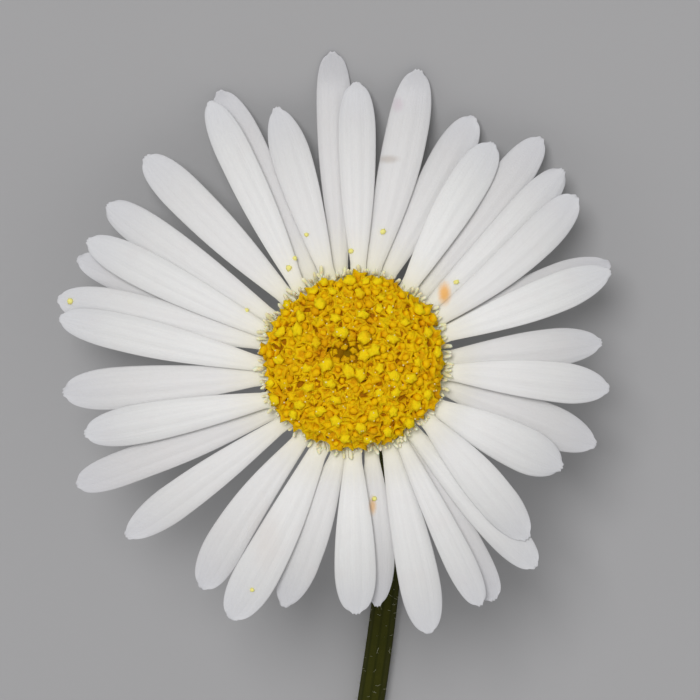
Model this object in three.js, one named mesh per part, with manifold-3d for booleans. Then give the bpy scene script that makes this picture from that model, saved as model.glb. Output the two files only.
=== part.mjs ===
// One picked Mexican fleabane flower, lying on a surface: the stem runs along it, bends up under the
// head, and the head leans forward until the petals of its low side rest on the surface.
// Millimetres, +Z up. The surface is z = 0, the face of the head looks up and towards -Y, and the
// stem runs towards +Y. Every head piece is drawn in the head's own frame: x to the right and y up
// as one sees the face, z out of the face, azimuths clockwise from y.
import * as THREE from "three";
import { mergeVertices } from "three/addons/utils/BufferGeometryUtils.js";
import Module from "manifold-3d";

const wasm = await Module();
wasm.setup();

// Driving dimensions of the head's place
const headTilt = THREE.MathUtils.degToRad(33); // how far the face leans from looking straight up
const headCentre = new THREE.Vector3(0, 0, 6.15); // centre of the ring that the petals leave

// Driving dimensions of the ray florets, the white petals
const bladeThick = 0.6;
const visibleRoot = 3.5; // radius where a petal comes out from under the yellow disc
const sunkRoot = 0.85; // length of the claw inside that radius
const clawShare = 0.42; // width of the claw as a share of the full width
const roundingFrom = 0.7; // share of the length where the tip starts to round off
const roundingPower = 2.3;
const layerStep = 0.18; // height between the three overlapping layers of petals
const camber = 0.22; // how far the middle of a petal stands above the line from root to tip
const tipDrop = 0.95; // how far the tips hang below the ring
const layerDrop = 0.13; // how much less the tips of each higher layer hang
const edgeDrop = 0.13; // how far the edges hang below the middle of a petal
const notchDepth = 0.09; // bite between the teeth at the tip
const surfaceEase = 0.12; // softness of the bend where a petal meets the surface
const stations = [-1, 0, 0.25, 0.48, 0.68, 0.83, 0.94, 1]; // along a petal; -1 is the sunk end
const tipWidthShare = 0.34; // width that is left at the toothed end

// Driving dimensions of the ring of packed floret tubes that the petals grow from
const ringInner = 1.8;
const ringOuter = 3.2;
const ringLow = -0.42;
const ringHigh = 0.3;

// Driving dimensions of the yellow disc
const discCount = 92;
const discRadius = 3.05;
const discPlug = 1.5; // radius of the part inside the ring
const discBottom = -0.5;
const discUnderside = 0.74; // height of the overhang above the petals
const discShoulder = 0.9;
const domeRise = 0.62;
const dimpleDepth = 0.3; // hollow over the youngest buds
const dimpleRadius = 0.55;
const floretHeight = 0.7;
const floretSunk = 0.32;
const floretMouth = 0.32; // radius of a floret's open end
const floretFoot = 0.2;
const floretLean = 0.75; // how much the outer florets lean outwards, in radians
const floretSides = 5;
const roundSides = 24;

// Driving dimensions of the green cup of bracts
const cupProfile = [[0.95, -4.2], [1.9, -3.8], [2.6, -3.0], [2.95, -2.1], [3.0, -1.3], [2.9, -0.8]];
const bractRows = [
  { from: -3.1, tip: -0.92, proud: 0.1, spread: 0.16, turn: 0 },
  { from: -3.7, tip: -1.5, proud: 0.19, spread: 0.12, turn: 0.5 },
  { from: -4.05, tip: -2.2, proud: 0.28, spread: 0.1, turn: 0.25 },
];
const bractsInRow = 17;
const bractWidth = 0.84;
const bractSunk = 0.42;

// Driving dimensions of the stem
const stemRadius = 0.55;
const stemSides = 8; // one side faces down, so that the stem lies flat
const stemTopRadius = 0.85; // where it widens under the cup
const stemTopGap = 0.3;
const neckLength = 0.7;
const bendRadius = 2.6;
const bendSteps = 8;
const startHeading = THREE.MathUtils.degToRad(-21.5); // off +Y, where the bend ends
const endHeading = THREE.MathUtils.degToRad(8);
const headingFade = 4; // distance over which the heading changes
const lyingLength = 38;
const lyingSteps = 18;
const cutSlant = 0.35;

// Petals clockwise from the top: [azimuth of the root, azimuth of the tip, reach of the tip from
// the head's centre, full width, layer (0 under, 2 or more over), sideways bow of the middle, share of the
// length where it is widest]
const petals = [
  [352.0, 356.0, 10.95, 1.25, 0, 0, 0.7],
  [2.5, 0.5, 9.85, 1.30, 2, 0, 0.7],
  [11.5, 12.5, 10.55, 1.45, 1, 0.1, 0.65],
  [21.5, 26.0, 9.65, 1.40, 0, 0, 0.75],
  [35.5, 32.5, 9.15, 1.40, 2, -0.05, 0.7],
  [44.5, 40.0, 10.35, 1.30, 0, 0, 0.7],
  [53.5, 47.5, 10.05, 1.25, 1, 0.1, 0.7],
  [62.5, 53.5, 9.80, 1.35, 2, 0.2, 0.75],
  [68.5, 69.0, 9.70, 1.35, 0, 0, 0.7],
  [73.0, 70.5, 9.60, 1.35, 2, 0.05, 0.7],
  [87.5, 85.5, 8.80, 1.30, 0, 0, 0.7],
  [96.0, 96.0, 9.05, 1.40, 2, -0.05, 0.7],
  [105.5, 109.0, 9.05, 1.45, 0, -0.05, 0.65],
  [118.5, 117.0, 8.25, 1.55, 2, 0, 0.65],
  [129.0, 135.5, 8.75, 1.40, 2.5, -0.05, 0.6],
  [140.0, 138.5, 9.70, 1.30, 1, 0, 0.7],
  [146.0, 149.5, 9.80, 1.25, 0, 0, 0.7],
  [149.5, 152.5, 9.70, 1.05, 2, 0, 0.8],
  [158.0, 164.5, 9.95, 1.40, 1, -0.05, 0.7],
  [169.5, 174.5, 8.70, 1.20, 0, -0.05, 0.65],
  [180.5, 179.5, 8.90, 1.45, 2, 0, 0.8],
  [190.0, 196.0, 9.00, 1.35, 1, 0, 0.6],
  [202.0, 205.5, 10.05, 1.55, 2, -0.1, 0.8],
  [214.5, 214.0, 9.65, 1.40, 1, 0.2, 0.8],
  [229.5, 232.5, 10.15, 1.30, 1, 0, 0.75],
  [238.5, 246.0, 10.75, 1.20, 0, 0, 0.6],
  [247.0, 255.0, 9.85, 1.35, 2, 0, 0.7],
  [261.0, 264.0, 10.35, 1.45, 1, 0, 0.7],
  [269.5, 278.5, 10.50, 1.30, 2, 0, 0.65],
  [282.5, 282.0, 10.70, 1.40, 1, 0.05, 0.7],
  [290.0, 290.5, 10.45, 1.20, 0, 0, 0.7],
  [289.5, 294.5, 10.35, 1.30, 2, 0, 0.7],
  [298.5, 302.5, 10.35, 1.30, 1, 0, 0.75],
  [314.0, 314.5, 10.35, 1.40, 1, 0, 0.7],
  [324.0, 331.0, 10.50, 1.20, 2, 0, 0.6],
  [333.0, 333.5, 10.70, 1.40, 0, -0.05, 0.7],
  [343.0, 343.0, 9.40, 1.35, 1, 0, 0.7],
];

// Colours of the fresh flower
const petalWhite = 0xf4f3ee;
const discYellow = 0xe8b806;
const cupGreen = 0x6f8a3c;
const stemGreen = 0x6b7d35;

// A closed three.js geometry as a solid, and a solid as a geometry
function solidFrom(geometry) {
  const bare = geometry.clone();
  bare.deleteAttribute("normal");
  bare.deleteAttribute("uv");
  const merged = mergeVertices(bare, 1e-5);
  return new wasm.Manifold(new wasm.Mesh({
    numProp: 3,
    vertProperties: merged.attributes.position.array,
    triVerts: new Uint32Array(merged.index.array),
  }));
}

function geometryFrom(solid) {
  const mesh = solid.getMesh();
  const geometry = new THREE.BufferGeometry();
  geometry.setAttribute("position", new THREE.BufferAttribute(mesh.vertProperties, 3));
  geometry.setIndex(new THREE.BufferAttribute(mesh.triVerts, 1));
  geometry.computeVertexNormals();
  return geometry;
}

function fuse(geometries) {
  return geometryFrom(geometries.map(solidFrom).reduce((joined, next) => joined.add(next)));
}

function indexedGeometry(points, triangles) {
  const geometry = new THREE.BufferGeometry().setFromPoints(points);
  geometry.setIndex(triangles);
  geometry.computeVertexNormals();
  return geometry;
}

// A closed body through rings of points that run counter-clockwise seen from its far end
function loft(rings) {
  const sides = rings[0].length;
  const points = rings.flat();
  const triangles = [];
  for (let ring = 0; ring < rings.length - 1; ring++) {
    for (let side = 0; side < sides; side++) {
      const a = ring * sides + side;
      const b = ring * sides + ((side + 1) % sides);
      triangles.push(a, b, b + sides, a, b + sides, a + sides);
    }
  }
  [0, rings.length - 1].forEach((ring, end) => {
    const middle = new THREE.Vector3();
    rings[ring].forEach((point) => middle.addScaledVector(point, 1 / sides));
    points.push(middle);
    for (let side = 0; side < sides; side++) {
      const a = ring * sides + side;
      const b = ring * sides + ((side + 1) % sides);
      triangles.push(...(end ? [a, b, points.length - 1] : [b, a, points.length - 1]));
    }
  });
  return indexedGeometry(points, triangles);
}

// A closed slab from rows of points across its top, with the same rows moved down by its thickness
function slab(rows, thickness) {
  const columns = rows[0].length;
  const top = rows.flat();
  const under = top.map((point) => new THREE.Vector3(point.x, point.y, point.z - thickness));
  const below = top.length;
  const triangles = [];
  const wall = (a, b) => triangles.push(a, a + below, b + below, a, b + below, b);
  for (let row = 0; row < rows.length - 1; row++) {
    for (let column = 0; column < columns - 1; column++) {
      const a = row * columns + column;
      const b = a + 1;
      const c = b + columns;
      const d = a + columns;
      triangles.push(a, b, c, a, c, d);
      triangles.push(a + below, c + below, b + below, a + below, d + below, c + below);
    }
    wall(row * columns + columns, row * columns);
    wall(row * columns + columns - 1, row * columns + 2 * columns - 1);
  }
  const last = (rows.length - 1) * columns;
  for (let column = 0; column < columns - 1; column++) {
    wall(column, column + 1);
    wall(last + column + 1, last + column);
  }
  return indexedGeometry(top.concat(under), triangles);
}

// A point in the plane of the petals from an azimuth in degrees and a radius
function atAzimuth(degrees, radius) {
  const angle = THREE.MathUtils.degToRad(degrees);
  return new THREE.Vector2(Math.sin(angle), Math.cos(angle)).multiplyScalar(radius);
}

// Half the width of a petal: it widens as a quarter sine wave and closes as a superellipse
function halfWidth(width, widestAt, share) {
  const along = Math.max(share, 0);
  const grown = Math.sin((Math.PI / 2) * Math.min(1, along / widestAt));
  const past = Math.max(0, (along - roundingFrom) / (1 - roundingFrom));
  const closed = (1 - past ** roundingPower) ** (1 / roundingPower);
  return (width / 2) * (clawShare + (1 - clawShare) * grown) * Math.max(closed, tipWidthShare);
}

// The height that the underside of a petal needs at y to stay on or over the surface
function surfaceHeight(y) {
  return (y * Math.sin(headTilt) - headCentre.z) / Math.cos(headTilt);
}

// The underside raised smoothly to the surface wherever it would pass through it
function restOnSurface(under, y) {
  const gap = under - surfaceHeight(y);
  return surfaceHeight(y) + (gap + Math.hypot(gap, surfaceEase)) / 2;
}

// One petal: a thin arched blade along the line from its root to its tip, with a notched end
function petalBlade([rootAzimuth, tipAzimuth, reach, width, layer, bow, widestAt]) {
  const root = atAzimuth(rootAzimuth, visibleRoot);
  const tip = atAzimuth(tipAzimuth, reach);
  const line = tip.clone().sub(root);
  const ahead = line.clone().normalize();
  const right = new THREE.Vector2(ahead.y, -ahead.x);
  const drop = tipDrop + layerDrop * (1 - layer);
  const rows = stations.map((station) => {
    const share = station < 0 ? -sunkRoot / line.length() : station;
    const open = Math.max(share, 0);
    const half = halfWidth(width, widestAt, share);
    const height = layerStep * (layer - 1) + 4 * camber * open * (1 - open) - drop * open ** 2;
    return [-1, 0, 1].map((side) => {
      const notch = station === 1 && side === 0 ? notchDepth : 0;
      const place = root.clone().addScaledVector(line, share).addScaledVector(ahead, -notch);
      place.addScaledVector(right, side * half + bow * Math.sin(Math.PI * open));
      const curl = edgeDrop * Math.abs(side) * (2 * half / width);
      const under = height - curl - bladeThick / 2;
      return new THREE.Vector3(place.x, place.y, restOnSurface(under, place.y) + bladeThick);
    });
  });
  return slab(rows, bladeThick);
}

function rayFlorets() {
  const ring = new THREE.LatheGeometry([
    new THREE.Vector2(ringInner, ringLow),
    new THREE.Vector2(ringOuter, ringLow),
    new THREE.Vector2(ringOuter, ringHigh),
    new THREE.Vector2(ringInner, ringHigh),
    new THREE.Vector2(ringInner, ringLow),
  ], roundSides).rotateX(Math.PI / 2);
  return fuse([ring, ...petals.map((row) => petalBlade(row))]);
}

// Height of the dome that carries the disc florets, with the hollow at its middle
function domeHeight(radius) {
  const round = 1 - (radius / discRadius) ** 2;
  return discShoulder + domeRise * round - dimpleDepth * Math.exp(-((radius / dimpleRadius) ** 2));
}

// One disc floret: a five-sided trumpet with a low bud in its mouth, along +Z
function floret() {
  return new THREE.LatheGeometry([
    new THREE.Vector2(0, 0),
    new THREE.Vector2(floretFoot, 0),
    new THREE.Vector2(floretMouth, floretHeight * 0.72),
    new THREE.Vector2(0, floretHeight),
  ], floretSides).rotateX(Math.PI / 2);
}

function discFlorets() {
  const domeSteps = 7;
  const profile = [[0, discBottom], [discPlug, discBottom], [discPlug, discUnderside],
    [discRadius, discUnderside]].map(([r, z]) => new THREE.Vector2(r, z));
  for (let step = domeSteps; step >= 0; step--) {
    const radius = discRadius * step / domeSteps;
    profile.push(new THREE.Vector2(radius, domeHeight(radius)));
  }
  const dome = new THREE.LatheGeometry(profile, roundSides).rotateX(Math.PI / 2);
  const goldenAngle = Math.PI * (3 - Math.sqrt(5));
  const florets = [];
  for (let index = 0; index < discCount; index++) {
    const radius = discRadius * Math.sqrt((index + 0.6) / discCount);
    const angle = index * goldenAngle;
    const lean = floretLean * (radius / discRadius) ** 2;
    florets.push(floret()
      .translate(0, 0, -floretSunk)
      .rotateY(lean)
      .translate(radius, 0, domeHeight(radius))
      .rotateZ(angle));
  }
  return fuse([dome, ...florets]);
}

// Radius of the cup at a height, straight between the points of its profile
function cupRadius(height) {
  const above = cupProfile.findIndex(([, z]) => z >= height);
  const [r1, z1] = cupProfile[above];
  const [r0, z0] = cupProfile[Math.max(above - 1, 0)];
  return z1 === z0 ? r1 : THREE.MathUtils.mapLinear(height, z0, z1, r0, r1);
}

// One bract: a keeled lance sunk in the cup, whose tip spreads a little from it
function bract({ from, tip, proud, spread, turn }, index) {
  const angle = (index + turn) * 2 * Math.PI / bractsInRow;
  const shape = [[0, 0.75], [0.35, 1], [0.7, 0.72], [1, 0.08]];
  const rings = shape.map(([share, wide]) => {
    const height = THREE.MathUtils.lerp(from, tip, share);
    const radius = cupRadius(height) + spread * share ** 3;
    const half = bractWidth * wide / 2;
    return [
      new THREE.Vector3(radius - bractSunk * wide, half, height),
      new THREE.Vector3(radius - bractSunk * wide, -half, height),
      new THREE.Vector3(radius + proud, 0, height),
    ].map((point) => point.applyAxisAngle(new THREE.Vector3(0, 0, 1), angle));
  });
  return loft(rings);
}

function involucre() {
  const top = cupProfile[cupProfile.length - 1][1];
  const bottom = cupProfile[0][1];
  const profile = [[0, bottom], ...cupProfile, [0, top]].map(([r, z]) => new THREE.Vector2(r, z));
  const cup = new THREE.LatheGeometry(profile, roundSides).rotateX(Math.PI / 2);
  const bracts = bractRows.flatMap((row) =>
    Array.from({ length: bractsInRow }, (_, index) => bract(row, index)));
  return fuse([cup, ...bracts]);
}

// Centreline of the stem as a list of { place, along, radius }: a widened neck under the cup, a
// round bend, and a lying run whose heading fades from startHeading to endHeading
function stemCentreline() {
  const outOfFace = new THREE.Vector3(0, -Math.sin(headTilt), Math.cos(headTilt));
  const down = outOfFace.clone().negate();
  const heading = new THREE.Vector3(Math.sin(startHeading), Math.cos(startHeading), 0);
  const inward = heading.clone().addScaledVector(down, -heading.dot(down)).normalize();
  const turn = Math.acos(heading.dot(down));
  const lyingHeight = stemRadius * Math.cos(Math.PI / stemSides);
  const top = headCentre.clone().addScaledVector(down, stemTopGap - cupProfile[0][1]);
  const bendStart = top.clone().addScaledVector(down, neckLength);
  const bendDrop = bendRadius * (Math.sin(turn) * down.z + (1 - Math.cos(turn)) * inward.z);
  const spare = bendStart.z + bendDrop - lyingHeight;
  bendStart.addScaledVector(down, -spare / down.z);
  const line = [
    { place: top, along: down, radius: stemTopRadius },
    { place: top.clone().lerp(bendStart, 0.5), along: down, radius: 0.5 * (stemTopRadius + stemRadius) },
  ];
  for (let step = 0; step <= bendSteps; step++) {
    const angle = turn * step / bendSteps;
    line.push({
      place: bendStart.clone()
        .addScaledVector(down, bendRadius * Math.sin(angle))
        .addScaledVector(inward, bendRadius * (1 - Math.cos(angle))),
      along: down.clone().multiplyScalar(Math.cos(angle)).addScaledVector(inward, Math.sin(angle)),
      radius: stemRadius,
    });
  }
  const bendEnd = line[line.length - 1].place;
  const change = Math.tan(endHeading) - Math.tan(startHeading);
  for (let step = 1; step <= lyingSteps; step++) {
    const run = lyingLength * (step / lyingSteps) ** 1.4;
    const faded = Math.exp(-run / headingFade);
    const aside = Math.tan(endHeading) * run - change * headingFade * (1 - faded);
    const slope = Math.tan(endHeading) - change * faded;
    line.push({
      place: new THREE.Vector3(bendEnd.x + aside, bendEnd.y + run, lyingHeight),
      along: new THREE.Vector3(slope, 1, 0).normalize(),
      radius: stemRadius,
    });
  }
  return line;
}

function stem() {
  const up = new THREE.Vector3(0, 0, 1);
  const line = stemCentreline();
  const rings = line.map(({ place, along, radius }, index) => {
    const side = along.clone().cross(up).normalize();
    const over = side.clone().cross(along);
    const slant = index === line.length - 1 ? cutSlant : 0;
    return Array.from({ length: stemSides }, (_, corner) => {
      const angle = (corner + 0.5) * 2 * Math.PI / stemSides;
      return place.clone()
        .addScaledVector(side, radius * Math.cos(angle))
        .addScaledVector(over, radius * Math.sin(angle))
        .addScaledVector(along, -slant * Math.sin(angle));
    });
  });
  return loft(rings.map((ring) => ring.reverse()));
}

function piece(name, geometry, color, roughness) {
  const material = new THREE.MeshStandardMaterial({ color, roughness, metalness: 0 });
  material.flatShading = true;
  const mesh = new THREE.Mesh(geometry, material);
  mesh.name = name;
  return mesh;
}

const head = new THREE.Group();
head.position.copy(headCentre);
head.rotation.set(headTilt, 0, Math.PI);
head.add(
  piece("ray_florets", rayFlorets(), petalWhite, 0.6),
  piece("disc_florets", discFlorets(), discYellow, 0.7),
  piece("involucre", involucre(), cupGreen, 0.7),
);

const flower = new THREE.Group();
flower.add(head, piece("stem", stem(), stemGreen, 0.65));
const middle = new THREE.Box3().setFromObject(flower, true).getCenter(new THREE.Vector3());
flower.position.set(-middle.x, -middle.y, 0);

export default flower;
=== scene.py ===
import math

import bpy
import numpy as np
from mathutils import Matrix


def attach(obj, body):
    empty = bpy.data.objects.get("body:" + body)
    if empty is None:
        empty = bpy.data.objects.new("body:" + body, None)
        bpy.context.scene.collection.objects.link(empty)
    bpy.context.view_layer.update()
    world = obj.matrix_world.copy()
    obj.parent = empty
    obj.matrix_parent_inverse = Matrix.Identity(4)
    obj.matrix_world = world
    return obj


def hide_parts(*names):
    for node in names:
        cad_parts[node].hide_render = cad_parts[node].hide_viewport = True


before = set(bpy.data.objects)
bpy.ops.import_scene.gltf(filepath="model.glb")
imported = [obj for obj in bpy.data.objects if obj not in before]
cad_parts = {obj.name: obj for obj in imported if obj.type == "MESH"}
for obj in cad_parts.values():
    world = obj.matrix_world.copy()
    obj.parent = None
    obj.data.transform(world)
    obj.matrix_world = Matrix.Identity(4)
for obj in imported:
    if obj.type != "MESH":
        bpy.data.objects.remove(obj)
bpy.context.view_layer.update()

# The stem: a thin solid stalk of green living tissue with fine ribs, grown in one with the base of
# the cup and snapped off at its far end. It lies along the surface and bends up under the head.

MM = 0.001
head_tilt = math.radians(33)  # how far the face leans forward from looking straight up
head_centre = np.array([-0.6889, -17.0146, 6.15])  # middle of the ring that the petals leave
face_right = np.array([-1.0, 0.0, 0.0])
face_up = np.array([0.0, -math.cos(head_tilt), -math.sin(head_tilt)])
face_out = np.array([0.0, -math.sin(head_tilt), math.cos(head_tilt)])

stem_radius = 0.5
stem_top_radius = 0.76
stem_flare = 0.95  # how far down the stem its widened top reaches
stem_lying_height = 0.508
stem_top_depth = 4.0  # of the stem's upper end, inside the cup, below the head's centre
stem_bend_radius = 2.6
stem_start_heading = math.radians(-21.5)
stem_end_heading = math.radians(8)
stem_heading_fade = 4.0
stem_lying_length = 37.9
stem_cut_slant = 0.34
stem_cut_rings = 5  # rings of points that lie on the snapped end
stem_clearance = 0.004  # of the lowest points over the surface


def unit(vectors):
    """Each vector divided by its length."""
    return vectors / np.linalg.norm(vectors, axis=-1, keepdims=True)


def stem_path(bend_points=26, lying_points=150):
    """The stem's middle line: straight down from the cup, a circular bend in the plane of the head's
    axis and the first heading, then a level run whose heading fades exponentially to the last one.
    Gives the places in millimetres and the distance along the line of each."""
    down = -face_out
    heading = np.array([math.sin(stem_start_heading), math.cos(stem_start_heading), 0.0])
    inward = unit(heading - heading @ down * down)
    turn = math.acos(heading @ down)
    top = head_centre + stem_top_depth * down
    bend_drop = stem_bend_radius * (math.sin(turn) * down[2] + (1 - math.cos(turn)) * inward[2])
    neck = (stem_lying_height - bend_drop - top[2]) / down[2]
    neck_line = top + down * neck * np.linspace(0, 1, 12)[:-1, None]
    angle = np.linspace(0, turn, bend_points)[:, None]
    bend = (top + down * neck + stem_bend_radius * np.sin(angle) * down
            + stem_bend_radius * (1 - np.cos(angle)) * inward)
    run = stem_lying_length * np.linspace(0, 1, lying_points)[1:] ** 1.3
    change = math.tan(stem_end_heading) - math.tan(stem_start_heading)
    aside = math.tan(stem_end_heading) * run - change * stem_heading_fade * (
        1 - np.exp(-run / stem_heading_fade))
    lying = np.stack([bend[-1, 0] + aside, bend[-1, 1] + run, np.full_like(run, bend[-1, 2])], -1)
    path = np.concatenate([neck_line, bend, lying])
    steps = np.linalg.norm(np.diff(path, axis=0), axis=1)
    return path, np.concatenate([[0.0], np.cumsum(steps)])


def tube_faces(rings, sides, tubes=1):
    """Quads that join each ring of points to the next, for a number of like tubes one after another.
    A corner's number is (tube x rings + ring) x sides + side, and the last side meets the first."""
    tube, ring, side = np.meshgrid(
        np.arange(tubes), np.arange(rings - 1), np.arange(sides), indexing="ij")
    start = (tube * rings + ring) * sides
    here, beside = start + side, start + (side + 1) % sides
    return np.stack([here, beside, beside + sides, here + sides], -1).reshape(-1, 4)


def end_faces(rings, sides, tubes):
    """Quads that close both ends of like tubes with an even number of sides, as the rungs of a
    ladder: corners j and j + 1 of an end ring are joined to the corners that lie opposite them,
    sides - 2 - j and sides - 1 - j."""
    tube, rung = np.meshgrid(np.arange(tubes), np.arange(sides // 2 - 1), indexing="ij")
    first = tube * rings * sides
    last = first + (rings - 1) * sides
    rungs = np.stack([rung, rung + 1, sides - 2 - rung, sides - 1 - rung], -1)
    ends = [first[..., None] + rungs[..., ::-1], last[..., None] + rungs]
    return np.concatenate(ends).reshape(-1, 4)


def closed_tubes(points):
    """All the quads of one closed tube, or of a number of like ones, from their grid of points: the
    walls and both ends."""
    *tubes, rings, sides, _ = points.shape
    size = rings, sides, math.prod(tubes)
    return np.concatenate([tube_faces(*size), end_faces(*size)])


def new_object(name, data):
    made = bpy.data.objects.new(name, data)
    bpy.context.collection.objects.link(made)
    return made


def add_piece(name, points, node, material, faces=None, **marks):
    """A smooth mesh from a grid of points in millimetres and its quads, those of closed tubes where
    none are given. Every mark gives one number or vector to each point, or to each row or shape of
    them. The piece moves with the flower's one body and stands for the CAD node."""
    mesh = bpy.data.meshes.new(name)
    faces = closed_tubes(points) if faces is None else faces
    mesh.from_pydata((points.reshape(-1, 3) * MM).tolist(), [], faces.tolist())
    mesh.polygons.foreach_set("use_smooth", np.ones(len(mesh.polygons), bool))
    for mark, values in marks.items():
        vector = np.shape(values) == points.shape
        values = np.broadcast_to(values, points.shape if vector else points.shape[:-1])
        layer = mesh.attributes.new(mark, "FLOAT_VECTOR" if vector else "FLOAT", "POINT")
        layer.data.foreach_set("vector" if vector else "value", values.ravel().astype(np.float32))
    mesh.materials.append(material)
    piece = new_object(name, mesh)
    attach(piece, "root")
    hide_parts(node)


def add_node(tree, kind, settings, inputs, output=0):
    """One shader node: its settings first, then each input as a number, a colour or a link."""
    node = tree.nodes.new("ShaderNode" + kind)
    for name, setting in settings.items():
        setattr(node, name, setting)
    for name, value in inputs.items():
        if isinstance(value, Value):
            tree.links.new(value.socket, node.inputs[name])
        elif node.inputs[name].type == "RGBA":
            node.inputs[name].default_value = (*value, 1.0)
        else:
            node.inputs[name].default_value = value
    return Value(tree, node.outputs[output])


class Value:
    """A node's output socket. Python's arithmetic on it adds Math nodes to its tree."""

    def __init__(self, tree, socket):
        self.tree = tree
        self.socket = socket

    def math(self, operation, *terms):
        inputs = dict(enumerate(terms or (self,)))
        return add_node(self.tree, "Math", {"operation": operation}, inputs)

    def __add__(self, other):
        return self.math("ADD", self, other)

    def __radd__(self, other):
        return self.math("ADD", other, self)

    def __sub__(self, other):
        return self.math("SUBTRACT", self, other)

    def __rsub__(self, other):
        return self.math("SUBTRACT", other, self)

    def __mul__(self, other):
        return self.math("MULTIPLY", self, other)

    def __rmul__(self, other):
        return self.math("MULTIPLY", other, self)

    def __pow__(self, other):
        return self.math("POWER", self, other)


class Finish:
    """A material whose nodes are added by expressions. Places on a piece are in millimetres."""

    def __init__(self, name):
        self.material = bpy.data.materials.new(name)
        self.material.use_nodes = True
        self.tree = self.material.node_tree
        self.shader = self.tree.nodes["Principled BSDF"]

    def node(self, kind, settings, inputs, output=0):
        return add_node(self.tree, kind, settings, inputs, output)

    def mark(self, name, output="Fac"):
        return self.node("Attribute", {"attribute_name": name}, {}, output)

    def place(self):
        metres = self.node("TexCoord", {}, {}, "Object")
        return self.node("VectorMath", {"operation": "SCALE"}, {0: metres, "Scale": 1 / MM})

    def noise(self, place, scale, detail, roughness=0.5):
        inputs = {"Vector": place, "Scale": scale, "Detail": detail, "Roughness": roughness}
        return self.node("TexNoise", {}, inputs)

    def rise(self, value, low, high):
        """Zero below low, one above high, and a smooth S between them."""
        inputs = {"Value": value, "From Min": low, "From Max": high}
        return self.node("MapRange", {"interpolation_type": "SMOOTHSTEP"}, inputs)

    def mix(self, share, first, second):
        return self.node("Mix", {"data_type": "RGBA"}, {0: share, 6: first, 7: second}, 2)

    def bump(self, height, depth):
        inputs = {"Height": height, "Distance": depth * MM, "Strength": 1.0}
        return self.node("Bump", {}, inputs)

    def finished(self, fixed, **varying):
        """Links what varies to the shader, sets what is the same all over, gives the material."""
        names = {"colour": "Base Color", "roughness": "Roughness", "normal": "Normal"}
        for name, value in varying.items():
            self.tree.links.new(value.socket, self.shader.inputs[names[name]])
        for name, value in fixed.items():
            self.shader.inputs[name].default_value = value
        return self.material


def stem_surface(sides=40, ribs=9):
    """The stem's skin: a circle carried along the middle line, its radius eased from the wide top to
    the stem's own and rippled by the cosine of the angle times the number of ribs. The last rings
    close on the slanted cut, and nothing goes below the surface that the stem lies on."""
    path, along = stem_path()
    ahead = unit(np.gradient(path, axis=0))
    aside = unit(np.cross(ahead, [0.0, 0.0, 1.0]))
    over = np.cross(aside, ahead)
    angle = -2 * np.pi * (np.arange(sides) + 0.5) / sides
    widened = (stem_top_radius - stem_radius) * np.exp(-((along / stem_flare) ** 2))
    swelling = 0.012 * np.sin(along / 3.1) + 0.008 * np.sin(along / 1.3 + 1)
    radius = (stem_radius + widened + swelling)[:, None] * (1 + 0.035 * np.cos(ribs * angle))
    rounded = np.array([0.93, 0.7, 0.4, 0.04])[:, None]
    radius = np.concatenate([radius, radius[-1] * rounded])
    repeat = [-1, -1, -1, -1]
    centre = np.concatenate([path, path[repeat]])
    ahead, aside, over = (np.concatenate([v, v[repeat]]) for v in (ahead, aside, over))
    points = (centre[:, None]
              + radius[..., None] * np.cos(angle)[None, :, None] * aside[:, None]
              + radius[..., None] * np.sin(angle)[None, :, None] * over[:, None])
    is_end = np.zeros(len(centre))
    is_end[-stem_cut_rings:] = 1
    hollow = np.concatenate([np.zeros(len(path)), [0.0, -0.03, -0.08, -0.1]])
    slant = -stem_cut_slant * is_end[:, None] * radius / stem_radius * np.sin(angle)
    points += (slant + hollow[:, None])[..., None] * ahead[:, None]
    points[..., 2] = np.maximum(points[..., 2], stem_clearance)
    pith = np.concatenate([np.zeros(len(path)), [0.1, 0.7, 0.95, 1.0]])[:, None]
    reach = np.concatenate([along, along[repeat]])[:, None]
    return points, pith, np.sin(ribs * angle / 2), reach


def stem_skin():
    finish = Finish("stem_skin")
    pith, rib, reach = finish.mark("pith"), finish.mark("rib"), finish.mark("reach")
    place = finish.place()
    mottled = finish.noise(place, 1.4, 4.0)
    fibres = finish.noise(finish.node("CombineXYZ", {}, {0: rib * 3.0, 1: reach * 0.5}), 2.2, 3.0)
    # Painted shade: the greens are a dark olive, far darker than the living stem's green.
    green = finish.mix(mottled, (0.02, 0.025, 0.002), (0.042, 0.044, 0.004))
    green = finish.mix(fibres * 0.4, green, (0.066, 0.064, 0.008))
    furrow = finish.rise(rib * rib, 0.35, 0.0) * 0.45
    green = finish.mix(furrow, green, (0.015, 0.019, 0.002))
    flushed = finish.rise(finish.noise(place, 0.22, 2.0), 0.52, 0.72) * 0.4
    green = finish.mix(flushed, green, (0.062, 0.036, 0.006))
    cut = finish.mix(finish.noise(place, 9.0, 3.0), (0.38, 0.42, 0.2), (0.62, 0.62, 0.42))
    colour = finish.mix(finish.rise(pith, 0.3, 0.8), green, cut)
    grain = finish.noise(place, 16.0, 3.0)
    return finish.finished(
        {"Specular IOR Level": 0.08}, colour=colour, roughness=0.55 + 0.25 * grain,
        normal=finish.bump(grain + 1.5 * fibres, 0.012))


stem_points, pith, rib, reach = stem_surface()
add_piece("stem_stalk", stem_points, "stem", stem_skin(), pith=pith, rib=rib, reach=reach)

# The cup: a green bowl under the head, the swollen end of the stem, covered by three rows of narrow
# pointed bracts. Each bract is a thin leaf, grown on at its base, with a keel and pale papery edges.

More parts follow.
